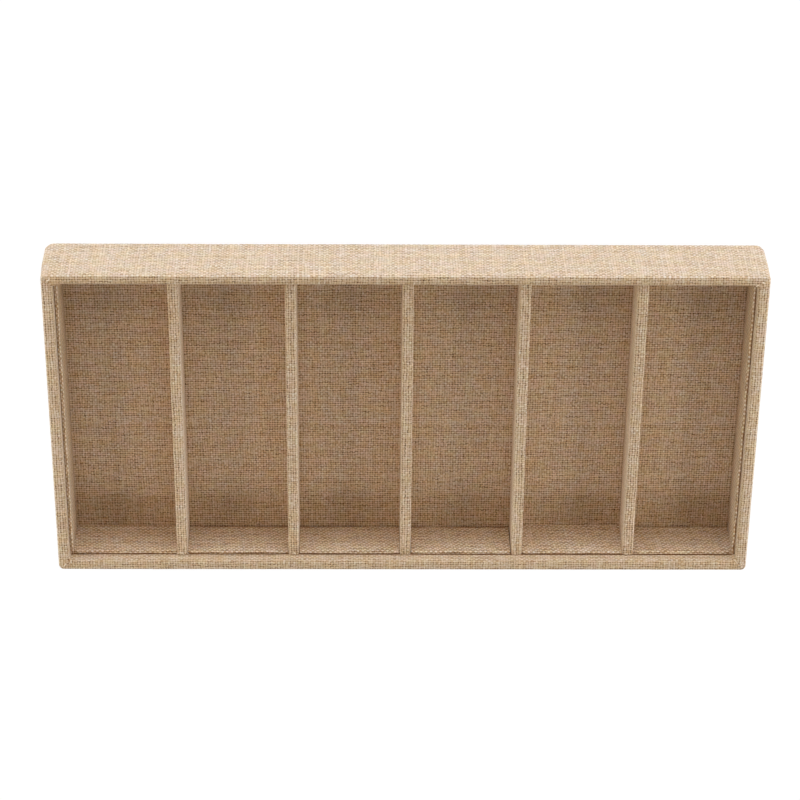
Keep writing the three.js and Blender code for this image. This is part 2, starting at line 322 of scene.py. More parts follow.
# pressed fibres: a fine grain, broad clouds and a sprinkling of flecks
def pressedMaterial(name, stops, grain, bump, roughness, stretch, sheen=0.0):
    mat, pen = newMaterial(name)
    place = pen.add("ShaderNodeTexCoord", output="Object")
    place = pen.add("ShaderNodeMapping", None, {"Vector": place, "Scale": stretch})
    fine = cloud(pen, place, 1 / grain, 4.0, dims="3D")
    broad = cloud(pen, place, pressed["broadScale"], 2.0, dims="3D")
    fleck = {"Vector": place, "Scale": pressed["fleckScale"] / grain}
    fleck = pen.add("ShaderNodeTexVoronoi", None, fleck, "Distance")
    tone = fine * pressed["fineShare"] + broad * pressed["broadShare"]
    tone = tone - (pressed["fleckSize"] - fleck).clip() * pressed["fleckDepth"]
    colour = pen.add("ShaderNodeValToRGB", {"stops": stops}, {"Fac": tone}, "Color")
    relief = pen.add("ShaderNodeBump", None, {"Strength": 0.6, "Distance": bump, "Height": fine})
    surfaceOf(pen, Base_Color=colour, Roughness=roughness, Normal=relief, Sheen_Weight=sheen)
    return mat


linenMat = linenMaterial("linen_weave", **linen["outside"])
liningMat = linenMaterial("linen_lining", **linen["inside"])
boardMat = pressedMaterial("fibreboard_core", **board)
cardMat = pressedMaterial("greyboard_core", **card)
feltMat = pressedMaterial("backing_felt_nap", **felt)
print("materials ready")


# sheets of cloth

# lines and quarter-round folds through square corners, and the cloth's length along them
def foldedPath(corners, radii, foldSteps, spacing):
    corners = [Vector(c) for c in corners]
    points = [corners[0]]
    for before, here, after, radius in zip(corners, corners[1:], corners[2:], radii):
        inward, onward = (here - before).normalized(), (after - here).normalized()
        addLine(points, here - inward * radius, spacing)
        centre = here + (onward - inward) * radius
        for step in range(1, foldSteps + 1):
            turn = math.pi / 2 * step / foldSteps
            points.append(centre + (inward * math.sin(turn) - onward * math.cos(turn)) * radius)
    addLine(points, corners[-1], spacing)
    runs = [0.0]
    for a, b in zip(points, points[1:]):
        runs.append(runs[-1] + (b - a).length)
    return points, runs


def addLine(points, end, spacing):
    start = points[-1]
    steps = max(1, round((end - start).length / spacing))
    for step in range(1, steps + 1):
        points.append(start.lerp(end, step / steps))


def smooth(low, high, value):
    t = min(max((value - low) / (high - low), 0.0), 1.0)
    return t * t * (3 - 2 * t)


# smooth between two distances below a height
def below(height, pair, value):
    return smooth(height - pair[0], height - pair[1], value)


# a mesh object; each face corner has its place on the flat cloth
def clothObject(name, points, faces, places, mat):
    mesh = bpy.data.meshes.new(name)
    mesh.from_pydata(points, [], faces)
    uv = mesh.uv_layers.new(name="weave")
    uv.data.foreach_set("uv", [value for face in places for place in face for value in place])
    mesh.materials.append(mat)
    mesh.validate()
    mesh.update()
    obj = bpy.data.objects.new(name, mesh)
    bpy.context.collection.objects.link(obj)
    return obj


def liftAlongNormals(obj, amount):
    normals = [v.normal.copy() for v in obj.data.vertices]
    for v, normal in zip(obj.data.vertices, normals):
        v.co += normal * amount(v.index, v.co)
    obj.data.update()


# gives the sheet its thickness, inwards from the side that shows, and makes it a plain mesh
def thicken(obj, thick, upright=False, lining=None):
    shell = obj.modifiers.new("thickness", "SOLIDIFY")
    shell.thickness = thick
    shell.offset = -1
    shell.use_even_offset = True
    settle(obj, upright, lining)


# marks on each point whether the cloth stands or lies there, and how much painted shade and glue darken
# it;
# upright cloth shows the standing pattern over its folds too
def settle(obj, upright, lining):
    graph = bpy.context.evaluated_depsgraph_get()
    mesh = bpy.data.meshes.new_from_object(obj.evaluated_get(graph), depsgraph=graph)
    obj.modifiers.clear()
    obj.data = mesh
    mesh.name = obj.name
    cloth = [m for m in mesh.materials if m][0]
    mesh.materials.clear()
    mesh.materials.append(cloth)
    mesh.polygons.foreach_set("material_index", [0] * len(mesh.polygons))
    mesh.shade_smooth()
    mesh.set_sharp_from_angle(angle=math.radians(linen["sharp"]))
    standing = mesh.attributes.new("standing", "FLOAT", "POINT")
    slopes = [abs(v.normal.z) for v in mesh.vertices]
    values = [1.0 if upright else 1 - smooth(*linen["slopes"], slope) for slope in slopes]
    standing.data.foreach_set("value", values)
    inside = mesh.attributes.new("lining", "FLOAT", "POINT")
    inside.data.foreach_set("value", [lining(v.co) if lining else 0.0 for v in mesh.vertices])


# outer wrap: one strip up the outside, over the rim and down inside, mitred at the corners

wrapLow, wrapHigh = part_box("outer_cover")
wrap = dict(
    gap=0.0003,  # to the liners
    corner=0.0025,  # outer corners in plan
    footCorner=0.0045,  # and where they turn under at the foot
    footRise=0.0065,
    innerCorner=0.0032,  # corners of the rim's opening
    innerSharp=0.69,  # share of their rounding lost lower down, at the liners
    innerFall=(0.001, 0.0045),  # between these depths below the rim
    edges=(0.0018, 0.0013, 0.0015),  # rounding under the foot, and over the rim's outer and inner edge
    edgeSteps=7,
    hem=0.014,  # glued under the base
    turn=0.012,  # turned down inside the rim
    spacing=0.0026,
    zone=0.016,  # finer columns this close to a corner
    zoneSteps=20,
    zoneCrowd=0.7,
    ripple=0.00017,
    rippleScales=(55.0, 170.0), rippleShares=(0.6, 0.4),
    rippleRise=0.35,  # share of the ripple that lifts the cloth everywhere
    insideRipple=0.45,  # share that is left inside the rim
    insideFrom=0.0004,
    flap=0.00034,  # the mitre's top layer stands this proud
    flapReach=0.0045,
    flapEdge=(0.4, 1.6),  # it starts over the rim's outer edge, in shares of the rounding
    groove=0.0004,
    grooveReach=0.0007,
    seamSide=2,  # sides are counted from the front: this is the rear wall
    seamAt=-0.131,  # where the strip's ends lap on it
    seamLift=0.00012,
    seamReach=0.011,
    seamColumns=(-0.0009, -0.00012, 0.00012, 0.0009),  # the lap is a sharp step
    # painted shade on the rear, front and end rims and inside them, as shares of the inside cloth's
    # painted shade colour, set side by side for how the light falls on each
    shadeShares=dict(rear=0.45, front=0.55, end=0.25, inside=0.65, insideEnd=0.6),
    shadeOver=(0.0005, 0.0018),  # from the outer faces inwards
    endFade=(0.0028, 0.0014),  # the painted shade on the end rims fades before their inner edge, a painted highlight where the rounding catches the light
    insideFade=(0.0006, 0.0001),
    joint=(0.0001, -0.0002, -0.0006),  # rows about the liners' tops, where glue and painted shade darken the cloth
    bulge=(0.00055, 0.0003, 0.00025, 0.00015),  # swelling of the +X, -X, front and rear faces
    bulgeTop=0.001,  # starts this far below the rim
    bulgeFull=0.55,  # and is full at this share of the height
    bulgeFoot=0.004,
    bulgeCorner=0.004,
)

wallThick = wrapHigh.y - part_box("rear_liner_1_cover")[1].y - wrap["gap"]
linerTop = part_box("rear_liner_1_cover")[1].z


# columns of points along a side: where each starts, and its share of the way to the mitre
def wrapColumns(half):
    inner = half - wrap["zone"]
    count = max(2, round(2 * inner / wrap["spacing"]))
    straight = [(-inner + 2 * inner * i / count, 0.0) for i in range(count + 1)]
    ends = [(i / wrap["zoneSteps"]) ** wrap["zoneCrowd"] for i in range(1, wrap["zoneSteps"] + 1)]
    return [(-inner, -f) for f in reversed(ends)] + straight + [(inner, f) for f in ends]


# the opening's corners are rounder at the rim than lower down
def planRadius(depth, z):
    opening = wrap["innerCorner"] * smooth(wrap["corner"], wallThick, depth)
    opening *= 1 - wrap["innerSharp"] * below(wrapHigh.z, wrap["innerFall"], z)
    foot = 1 - smooth(wrapLow.z, wrapLow.z + wrap["footRise"], z)
    outer = wrap["corner"] + (wrap["footCorner"] - wrap["corner"]) * foot * foot
    return max(outer - depth, opening, 1e-7)


# a point of one side, seen with that side in front: q runs along it from its middle
def sidePoint(half, breadth, depth, z, column):
    r = planRadius(depth, z)
    straight = half - depth - r
    end = straight + r * math.pi / 4
    start, share = column
    q = start + share * (end - abs(start))
    if abs(q) <= straight:
        return q, end - abs(q), (q, depth - breadth)
    turn = (abs(q) - straight) / r
    x = math.copysign(straight + r * math.sin(turn), q)
    return q, end - abs(q), (x, -(breadth - depth - r) - r * math.cos(turn))


# one more row on the leg that goes down inside
def addRow(section, runs, z):
    j = [k for k in range(1, len(section)) if section[k - 1].y > z > section[k].y][0]
    share = (section[j - 1].y - z) / (section[j - 1].y - section[j].y)
    section.insert(j, section[j - 1].lerp(section[j], share))
    runs.insert(j, runs[j - 1] + (runs[j] - runs[j - 1]) * share)


def wrapSection():
    top = wrapHigh.z
    corners = [(wrap["hem"], wrapLow.z), (0, wrapLow.z), (0, top), (wallThick, top),
               (wallThick, top - wrap["turn"])]
    section, runs = foldedPath(corners, wrap["edges"], wrap["edgeSteps"], wrap["spacing"])
    for above in wrap["joint"]:
        addRow(section, runs, linerTop + above)
    return section, runs


def makeWrap():
    section, runs = wrapSection()
    rows = len(section)
    points, faces, places, lifts = [], [], [], []
    cloth = 0.0  # how much of the strip's length is used up before each side
    columnCount = 0
    sideSizes = [(wrapHigh.x, wrapHigh.y), (wrapHigh.y, wrapHigh.x)] * 2
    for side, (half, breadth) in enumerate(sideSizes):
        columns = wrapColumns(half)
        if side == wrap["seamSide"]:
            columns += [(wrap["seamAt"] + d, 0.0) for d in wrap["seamColumns"]]
            columns.sort(key=lambda c: (c[0], c[1]))
        quarter = Matrix.Rotation(side * math.pi / 2, 2)
        first = columnCount
        halfCloth = sidePoint(half, breadth, 0.0, 0.0, (half - wrap["zone"], 1.0))[0]
        onCloth = []
        for c, column in enumerate(columns):
            onCloth.append([])
            for (depth, z), run in zip(section, runs):
                q, fromMitre, flat = sidePoint(half, breadth, depth, z, column)
                onCloth[c].append((cloth + halfCloth + q, run))
                if c == len(columns) - 1:
                    continue  # shared with the next side
                x, y = quarter @ Vector(flat)
                points.append((x, y, z))
                lifts.append(mitreLift(q, fromMitre, depth, z) + seamLift(side, q))
        columnCount += len(columns) - 1
        for c in range(len(columns) - 1):
            here, after = onCloth[c], onCloth[c + 1]
            for j in range(rows - 1):
                a = (first + c) * rows + j
                b = a + rows
                faces.append((a, b, b + 1, a + 1))
                places.append((here[j], after[j], after[j + 1], here[j + 1]))
        cloth += 2 * halfCloth
    total = columnCount * rows
    faces = [tuple(i % total for i in face) for face in faces]
    obj = clothObject("outer_wrap", points, faces, places, linenMat)
    liftAlongNormals(obj, lambda index, at: wrapRipple(at) + lifts[index] + swell(at))
    thicken(obj, linen["thick"], lining=wrapShadeAndGlue)
    return obj, (cloth, runs[-1])


def wrapRipple(at):
    broad, fine = wrap["rippleScales"]
    broadShare, fineShare = wrap["rippleShares"]
    soft = noise.noise(at * broad) * broadShare + noise.noise(at * fine + Vector((3, 7, 1))) * fineShare
    onRim = at.z > wrapHigh.z * 0.5
    inside = onRim and insideDepth(at) > wallThick - wrap["insideFrom"]
    share = wrap["insideRipple"] if inside else 1.0
    return (soft * 0.5 + wrap["rippleRise"]) * wrap["ripple"] * share


# painted shade on the strip: darker over the rim and inside it, and darkest in the joint with the
# liners, where glue darkens it too
def wrapShadeAndGlue(at):
    depth = insideDepth(at)
    onEnd = wrapHigh.x - abs(at.x) < wrapHigh.y - abs(at.y)
    rim = wrap["shadeShares"]["end" if onEnd else "rear" if at.y > 0 else "front"]
    rim *= smooth(*wrap["shadeOver"], depth)
    if onEnd:
        rim *= 1 - below(wallThick, wrap["endFade"], depth)
    inside = wrap["shadeShares"]["insideEnd" if onEnd else "inside"]
    joint = smooth(linerTop + wrap["joint"][0], linerTop + wrap["joint"][-1], at.z)
    inside += (2 - inside) * joint
    return rim + (inside - rim) * below(wallThick, wrap["insideFade"], depth)


# the outer faces swell a little below the rim
def swell(at):
    if insideDepth(at) > wrap["edges"][0]:
        return 0.0
    share = smooth(wrapHigh.z - wrap["bulgeTop"], wrapHigh.z * wrap["bulgeFull"], at.z)
    share *= smooth(wrapLow.z, wrapLow.z + wrap["bulgeFoot"], at.z)
    right, left, front, rear = wrap["bulge"]
    onEnd = smooth(wrap["bulgeCorner"], 0.0, wrapHigh.x - abs(at.x))
    end = right if at.x > 0 else left
    side = rear if at.y > 0 else front
    return share * (side + (end - side) * onEnd)


def insideDepth(at):
    return min(wrapHigh.x - abs(at.x), wrapHigh.y - abs(at.y))


# at each mitre the layer of the side that ends there lies over the side that starts there
def mitreLift(q, fromMitre, depth, z):
    if z < wrapHigh.z * 0.5:
        return 0.0
    onRim = smooth(*(wrap["edges"][1] * share for share in wrap["flapEdge"]), depth)
    if q > 0:
        return onRim * wrap["flap"] * math.exp(-fromMitre / wrap["flapReach"])
    if fromMitre < 1e-6:
        return onRim * wrap["flap"]
    return -onRim * wrap["groove"] * math.exp(-fromMitre / wrap["grooveReach"])


def seamLift(side, q):
    past = q - wrap["seamAt"]
    if side != wrap["seamSide"] or past < 0:
        return 0.0
    return wrap["seamLift"] * math.exp(-past / wrap["seamReach"])


outerWrap, wrapFlat = makeWrap()
print("outer wrap", len(outerWrap.data.polygons), "faces, cut", [round(s, 4) for s in wrapFlat])


# floor sheet: lies on the floor card with its four flaps turned under

floorLow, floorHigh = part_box("floor_cover")
floorSheet = dict(
    turn=0.012,  # turned under on each side
    edge=0.0007, edgeSteps=4,
    spacing=0.0032,
    ripple=0.00009, rippleScale=60.0,
)


def makeFloor():
    axes = []
    for half in (floorHigh.x, floorHigh.y):
        profile = [(0, floorHigh.z), (half, floorHigh.z), (half, floorLow.z),
                   (half - floorSheet["turn"], floorLow.z)]
        path, runs = foldedPath(profile, [floorSheet["edge"]] * 2, floorSheet["edgeSteps"],
                                floorSheet["spacing"])
        right = [(p.x, floorHigh.z - p.y, run) for p, run in zip(path, runs)]
        left = [(-x, drop, -run) for x, drop, run in reversed(right[1:])]
        axes.append(left + right)
    across, along = axes
    points = [(x, y, floorHigh.z - dropX - dropY)
              for x, dropX, runX in across for y, dropY, runY in along]
    faces, places = [], []
    for i in range(len(across) - 1):
        for j in range(len(along) - 1):
            flapX = max(across[i][1], across[i + 1][1]) > 0
            flapY = max(along[j][1], along[j + 1][1]) > 0
            if flapX and flapY:
                continue  # the corners are cut out, so that the flaps lie flat
            corners = [(i, j), (i + 1, j), (i + 1, j + 1), (i, j + 1)]
            faces.append(tuple(a * len(along) + b for a, b in corners))
            places.append(tuple((across[a][2], along[b][2]) for a, b in corners))
    used = sorted({index for face in faces for index in face})
    order = {old: new for new, old in enumerate(used)}
    faces = [tuple(order[i] for i in face) for face in faces]
    obj = clothObject("floor_sheet", [points[i] for i in used], faces, places, liningMat)
    scale = floorSheet["rippleScale"]
    liftAlongNormals(obj, lambda index, at: floorSheet["ripple"] * noise.noise(at * scale))
    thicken(obj, linen["thick"])
    width, length = across[-1][2] * 2, along[-1][2] * 2
    flap = across[-1][2] - floorHigh.x
    return obj, (width, length), width * length - 4 * flap * flap


floorCloth, floorFlat, floorArea = makeFloor()
print("floor sheet", len(floorCloth.data.polygons), "faces, cut", [round(s, 4) for s in floorFlat])


# dividers and liners: cloth folded over the top edge of a board or card

fold = dict(
    legSteps=9, foldSteps=6, topSteps=4,
    footRows=1.4,  # crowds the rows of points towards the foot
    spacing=0.00065,
    dividerRound=0.0011, linerRound=0.0007,
    linerTurn=0.008,  # how far a liner's cloth comes down at the back
    ripple=0.00013, rippleScale=95.0, rippleLevel=0.42,
    drop=0.0005,  # a liner's top corners are pulled down at its ends
    dropReach=0.0011, dropPower=6.0,
    ragged=0.0009,  # unevenness of a liner's top edge
    raggedScales=(520.0, 90.0), raggedPower=9.0,
    frontLift=0.0003,  # how far a front liner's lower edge stands off the floor
    # for each rear liner: the same, how far its foot is pushed into the cell,
    # how far it stops short of its neighbours, and how dark the painted shadow along its lower edge is,
    # in stretches
    rear=dict(
        lift=(0.0006, 0.0, 0.0005, 0.00055, 0.00055, 0.0001),
        lean=(0.0002, 0.0012, 0.0, 0.0, 0.0, 0.0009),
        inset=(-0.0006, -0.0002, 0.0002, -0.0001, -0.0002, -0.0005),
        footShadow=(0.6, 0.0, 1.0, 1.0, 1.0, 0.4)),
    rearShift=0.00025,  # rear liners stand a little off the wall
    rearSkew=0.12,  # and are cut off the grain, sideways per length
    liftScale=60.0, liftGain=2.4, liftFrom=0.45, liftPower=7.0,
    leanPower=1.5,
    footShadowHeight=(0.0013, 0.0007),
    footShadowScale=70.0, footShadowStretch=(-0.35, 0.05),
    endLean=(-0.0005, 0.0),  # feet of the -X and +X end liners
    endShift=(-0.00015, -0.00008),  # and how far they stand off their walls
    # share of the painted shade colour of the cells' inside on the long sides and at the ends
    linerShade=0.42, endShade=1.0,
    topFade=0.75,  # the painted shade is lighter again at the liners' top edges
    topEdge=(0.0007, 0.0002),
    backEdge=(0.0003, 0.0001),  # their backs are darkened by glue and painted shade
    backTop=(0.0010, 0.0018),
    seeds=dict(divider=0, front=10, rear=20, end=41),
    # where a seed moves the edge's noise, the ripple's noise and the weave
    seedEdge=(0.311, 0.7), seedRipple=(3.1, 1.7), seedWeave=(0.0371, 0.0173),
)
foldNumbers = ("Length", "Thickness", "Height", "Back", "Round", "Ripple", "Drop", "Ragged", "Lift",
               "Lean", "Skew", "Seed")
foldInputs = [(label, "Float") for label in foldNumbers] + [("Cloth", "Material")]


def newTree(name, inputs):
    tree = bpy.data.node_groups.new(name, "GeometryNodeTree")
    ids = {}
    for label, kind in inputs:
        socket = tree.interface.new_socket(label, in_out="INPUT", socket_type="NodeSocket" + kind)
        ids[label] = socket.identifier
    tree.interface.new_socket("Geometry", in_out="OUTPUT", socket_type="NodeSocketGeometry")
    pen = Wire(tree)
    given = pen.add("NodeGroupInput")
    return tree, ids, pen, given


def endTree(pen, geometry, mat):
    geometry = pen.add("GeometryNodeRealizeInstances", None, {"Geometry": geometry})
    geometry = pen.add("GeometryNodeSetMaterial", None, {"Geometry": geometry, "Material": mat})
    pen.add("NodeGroupOutput", None, {"Geometry": geometry})


# runs the tree on the object with these inputs
def grow(obj, tree, ids, values):
    modifier = obj.modifiers.new(tree.name, "NODES")
    modifier.node_group = tree
    for label, value in values.items():
        modifier[ids[label]] = value


def makeFoldTree():
    tree, ids, pen, given = newTree("foldedLinen", foldInputs)
    length, thick, height, back, rounding, ripple, drop, ragged, lift, lean, skew, seed = (
        given.out(label) for label in foldNumbers)
    legs, folds, tops = fold["legSteps"], fold["foldSteps"], fold["topSteps"]
    total = 2 * legs + 2 * folds + tops
    stations = (length / fold["spacing"]).floor() + 2
    grid = pen.add("GeometryNodeMeshGrid", None, {
        "Size X": 1.0, "Size Y": 1.0, "Vertices X": total + 1, "Vertices Y": stations}, "Mesh")
    at = pen.add("GeometryNodeInputPosition")
    at = pen.add("ShaderNodeSeparateXYZ", None, {"Vector": at})
    step = (at.out("X") + 0.5) * total
    y = at.out("Y") * length * -1  # keeps the faces pointing out
    # the cloth goes up the face, over a fold, across the top, over a fold and down the back
    rise = (step / legs).clip() ** fold["footRows"]
    firstTurn = ((step - legs) / folds).clip() * (math.pi / 2)
    across = ((step - legs - folds) / tops).clip()
    secondTurn = ((step - legs - folds - tops) / folds).clip() * (math.pi / 2)
    fall = ((step - legs - 2 * folds - tops) / legs).clip()
    legRun, topRun, backRun = height - rounding, thick - rounding * 2, back - rounding
    x = thick / 2 - rounding * (1 - firstTurn.cos()) - topRun * across - rounding * secondTurn.sin()
    z = legRun * rise + rounding * firstTurn.sin() - rounding * (1 - secondTurn.cos()) - backRun * fall
    run = legRun * rise + rounding * (firstTurn + secondTurn) + topRun * across + backRun * fall
    # leaning foot, corners pulled down, ragged top, lifted lower edge
    share = (z / height).clip()
    seedX, seedY = fold["seedEdge"]
    along = spot(pen, y + seed * seedX, seed * seedY)
    fine, broad = fold["raggedScales"]
    nibble = cloud(pen, along, fine, 1.0) + cloud(pen, along, broad, 1.0) - 1.0
    x = x + lean * (1 - share) ** fold["leanPower"]
    fromEnd = length / 2 - abs(y)
    z = z - drop * pen.maths("EXPONENT", fromEnd / -fold["dropReach"]) * share ** fold["dropPower"]
    z = z + nibble * ragged * share ** fold["raggedPower"]
    low = (1 - share) ** fold["liftPower"]
    uneven = cloud(pen, along, fold["liftScale"], 1.0) * fold["liftGain"] - fold["liftFrom"]
    z = z + lift * low * uneven.clip()
    seedX, seedY = fold["seedWeave"]
    place = spot(pen, y + run * skew + seed * seedX, run + seed * seedY)
    sheet = pen.add("GeometryNodeStoreNamedAttribute", {"data_type": "FLOAT2", "domain": "CORNER"},
                    {"Geometry": grid, "Name": "weave", "Value": place})
    sheet = pen.add("GeometryNodeSetPosition", None, {"Geometry": sheet, "Position": spot(pen, x, y, z)})
    at = pen.add("GeometryNodeInputPosition")
    seedX, seedY = fold["seedRipple"]
    away = spot(pen, seed * seedX, seed * seedY, seed)
    at = pen.add("ShaderNodeVectorMath", {"operation": "ADD"}, {0: at, 1: away})
    soft = cloud(pen, at, fold["rippleScale"], 2.0, dims="3D") - fold["rippleLevel"]
    normal = pen.add("GeometryNodeInputNormal")
    push = {0: normal, "Scale": soft * ripple * 2}
    push = pen.add("ShaderNodeVectorMath", {"operation": "SCALE"}, push)
    sheet = pen.add("GeometryNodeSetPosition", None, {"Geometry": sheet, "Offset": push})
    endTree(pen, sheet, given.out("Cloth"))
    return tree, ids


foldTree, foldIds = makeFoldTree()


# one folded cloth standing on its lower edge; facing turns its face from +X; depth and footShadow set
# its painted shade
def makeFolded(name, node, facing, seed, rounding, back=None, drop=0.0, ragged=0.0, lift=0.0, lean=0.0,
               inset=0.0, shift=0.0, depth=0.0, footShadow=0.0, skew=0.0):
    low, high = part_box(node)
    size = high - low
    turned = abs(math.sin(facing)) > 0.5
    length, thick = (size.x, size.y) if turned else (size.y, size.x)
    obj = bpy.data.objects.new(name, bpy.data.meshes.new(name))
    bpy.context.collection.objects.link(obj)
    grow(obj, foldTree, foldIds, {
        "Length": length - 2 * inset, "Thickness": thick, "Height": size.z, "Back": back or size.z,
        "Round": rounding, "Ripple": fold["ripple"], "Drop": drop, "Ragged": ragged, "Lift": lift,
        "Lean": lean, "Skew": skew, "Seed": float(seed), "Cloth": liningMat if back else linenMat})

    # painted shade on a liner's cloth: darker inside the cells, lighter at its top edge, glue and
    # painted shade on its back, and in stretches a painted shadow along its foot
    def tint(at):
        if not back:
            return depth
        behind = smooth(*(edge - thick / 2 for edge in fold["backEdge"]), at.x)
        behind *= below(size.z, fold["backTop"], at.z)
        own = depth * (1 - fold["topFade"] * below(size.z, fold["topEdge"], at.z))
        patchy = noise.noise(Vector((at.y * fold["footShadowScale"], seed * 1.37, 0.5)))
        foot = footShadow * smooth(*fold["footShadowStretch"], patchy) * smooth(*fold["footShadowHeight"], at.z)
        return max(own + (2 - own) * behind, own + (3 - own) * foot)

    thicken(obj, linen["thick"], back is not None, tint)
    middle = Vector(((low.x + high.x) / 2, (low.y + high.y) / 2, low.z))
    middle += Vector((math.cos(facing), math.sin(facing), 0)) * shift
    obj.data.transform(Matrix.Translation(middle) @ Matrix.Rotation(facing, 4, "Z"))
    obj.data.update()
    cut = size.z - rounding + (back or size.z) - rounding + thick - 2 * rounding + rounding * math.pi
    return obj, (cut, length)


foldedPieces = []
dividerCount = len([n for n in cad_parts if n.startswith("divider_cover_")])
for i in range(1, dividerCount + 1):
    node = f"divider_cover_{i}"
    seed = fold["seeds"]["divider"] + i
    piece, cut = makeFolded(f"divider_sleeve_{i}", node, 0.0, seed, fold["dividerRound"])
    foldedPieces.append((piece, cut, node, f"divider_board_{i}"))
linerCut = dict(rounding=fold["linerRound"], back=fold["linerTurn"], drop=fold["drop"],
                ragged=fold["ragged"])
for side, facing in (("front", math.pi / 2), ("rear", -math.pi / 2)):
    for i in range(1, dividerCount + 2):
        node = f"{side}_liner_{i}_cover"
        own = dict(lift=fold["frontLift"])
        if side == "rear":
            own = {key: values[i - 1] for key, values in fold["rear"].items()}
            own.update(shift=fold["rearShift"], skew=fold["rearSkew"])
        piece, cut = makeFolded(f"{side}_liner_{i}_cloth", node, facing, fold["seeds"][side] + i,
                                depth=fold["linerShade"], **linerCut, **own)
        foldedPieces.append((piece, cut, node, f"{side}_liner_{i}_card"))
for end, (side, facing) in enumerate((("left", 0.0), ("right", math.pi))):
    node = f"{side}_liner_cover"
    piece, cut = makeFolded(f"{side}_liner_cloth", node, facing, fold["seeds"]["end"] + end,
                            lean=fold["endLean"][end], shift=fold["endShift"][end],
                            depth=fold["endShade"], **linerCut)
    foldedPieces.append((piece, cut, node, f"{side}_liner_card"))
print("folded cloths", len(foldedPieces))


# loose yarn ends at the dividers' rear ends and on the rim's mitres

yarnEnds = dict(
    radius=0.00033, length=0.0015, jitter=0.8, seed=7,
    sizes=(0.55, 1.15),  # shortest and longest, as shares of the length
    perDivider=(1, 1, 2, 1, 7),
    perMitre=3,
    scatter=0.12,  # sideways on a divider, as a share of its width
    fromEnd=(0.0008, 0.0006),  # off the divider's end, and further for every second one
    rise=(0.0002, 0.0002),
    tilt=(0.3, 0.4), twist=1.2,
    mitreFrom=0.6, mitreRun=0.45,  # along a mitre, as shares of the wall's thickness
    mitreBeside=0.0007, mitreTwist=0.9,
    mitreTop=0.8,  # up to this share they lie on the rim, then over its edge
    mitreRise=(0.0004, -0.0003),
    finish=dict(
        stops=[(0.30, (0.78, 0.60, 0.40, 1)), (0.52, (0.88, 0.73, 0.53, 1)),
               (0.72, (0.95, 0.85, 0.69, 1))],
        grain=0.0003, bump=0.00003, roughness=0.95, stretch=(1, 1, 1), sheen=0.3),
)
yarnInputs = [("Points", "Geometry"), ("Length", "Float"), ("Radius", "Float"), ("Jitter", "Float"),
              ("Seed", "Int"), ("Yarn", "Material")]


def makeYarnTree():
    tree, ids, pen, given = newTree("looseYarns", yarnInputs)
    length, jitter, seed = (given.out(n) for n in ("Length", "Jitter", "Seed"))
    strand = pen.add("GeometryNodeCurveQuadraticBezier", None, {
        "Resolution": 5, "Start": (-0.5, 0, 0), "Middle": (0.1, 0.1, 0.35),
        "End": (0.5, 0, -0.05)}, "Curve")
    ring = pen.add("GeometryNodeCurvePrimitiveCircle", None, {
        "Resolution": 5, "Radius": given.out("Radius") / length}, "Curve")
    strand = pen.add("GeometryNodeCurveToMesh", None, {
        "Curve": strand, "Profile Curve": ring, "Fill Caps": True})
    turn = pen.add("GeometryNodeInputNamedAttribute", {"data_type": "FLOAT_VECTOR"}, {"Name": "turn"})
    shake = pen.add("FunctionNodeRandomValue", {"data_type": "FLOAT_VECTOR"}, {
        "Min": (-1, -1, -1), "Max": (1, 1, 1), "Seed": seed})
    shake = pen.add("ShaderNodeVectorMath", {"operation": "SCALE"}, {0: shake, "Scale": jitter})
    turn = pen.add("ShaderNodeVectorMath", {"operation": "ADD"}, {0: turn, 1: shake})
    least, most = yarnEnds["sizes"]
    size = pen.add("FunctionNodeRandomValue", {"data_type": "FLOAT"}, {
        "Min": least, "Max": most, "Seed": seed}, 1)
    placed = pen.add("GeometryNodeInstanceOnPoints", None, {
        "Points": given.out("Points"), "Instance": strand, "Rotation": turn, "Scale": length * size})
    endTree(pen, placed, given.out("Yarn"))
    return tree, ids


# where the ends come out and how each is turned; sines scatter them
def yarnSpots():
    spots = []
    for i, count in enumerate(yarnEnds["perDivider"], 1):
        low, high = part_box(f"divider_cover_{i}")
        for k in range(count):
            share = (k + 0.5) / count + yarnEnds["scatter"] * math.sin(k * 5.0 + i)
            back, backStep = yarnEnds["fromEnd"]
            rise, riseStep = yarnEnds["rise"]
            at = (low.x + (high.x - low.x) * share, high.y - back - backStep * (k % 2),
                  high.z + rise + riseStep * (k % 3))
            spots.append((at, (*yarnEnds["tilt"], yarnEnds["twist"] * math.sin(k * 2.3 + i))))
    for sideX in (-1, 1):
        for sideY in (-1, 1):
            for k in range(yarnEnds["perMitre"]):
                share = yarnEnds["mitreFrom"] + yarnEnds["mitreRun"] * k / (yarnEnds["perMitre"] - 1)
                depth = wallThick * share
                beside = yarnEnds["mitreBeside"] * math.sin(k * 4.1 + sideX + 2 * sideY)
                onTop = depth < wallThick * yarnEnds["mitreTop"]
                z = wrapHigh.z + yarnEnds["mitreRise"][0 if onTop else 1]
                at = (sideX * (wrapHigh.x - depth + beside), sideY * (wrapHigh.y - depth - beside), z)
                twist = yarnEnds["mitreTwist"] * math.sin(k * 3.7 + sideX)
                spots.append((at, (0, 0, math.pi / 4 * sideX * sideY + twist)))
    return spots


def makeYarnEnds():
    spots = yarnSpots()
    mesh = bpy.data.meshes.new("loose_yarns")
    mesh.from_pydata([at for at, turn in spots], [], [])
    turns = mesh.attributes.new("turn", "FLOAT_VECTOR", "POINT")
    turns.data.foreach_set("vector", [value for at, turn in spots for value in turn])
    obj = bpy.data.objects.new("loose_yarns", mesh)
    bpy.context.collection.objects.link(obj)
    tree, ids = makeYarnTree()
    grow(obj, tree, ids, {
        "Length": yarnEnds["length"], "Radius": yarnEnds["radius"], "Jitter": yarnEnds["jitter"],
        "Seed": yarnEnds["seed"], "Yarn": pressedMaterial("yarn_ends", **yarnEnds["finish"])})
    settle(obj, False, None)
    return obj


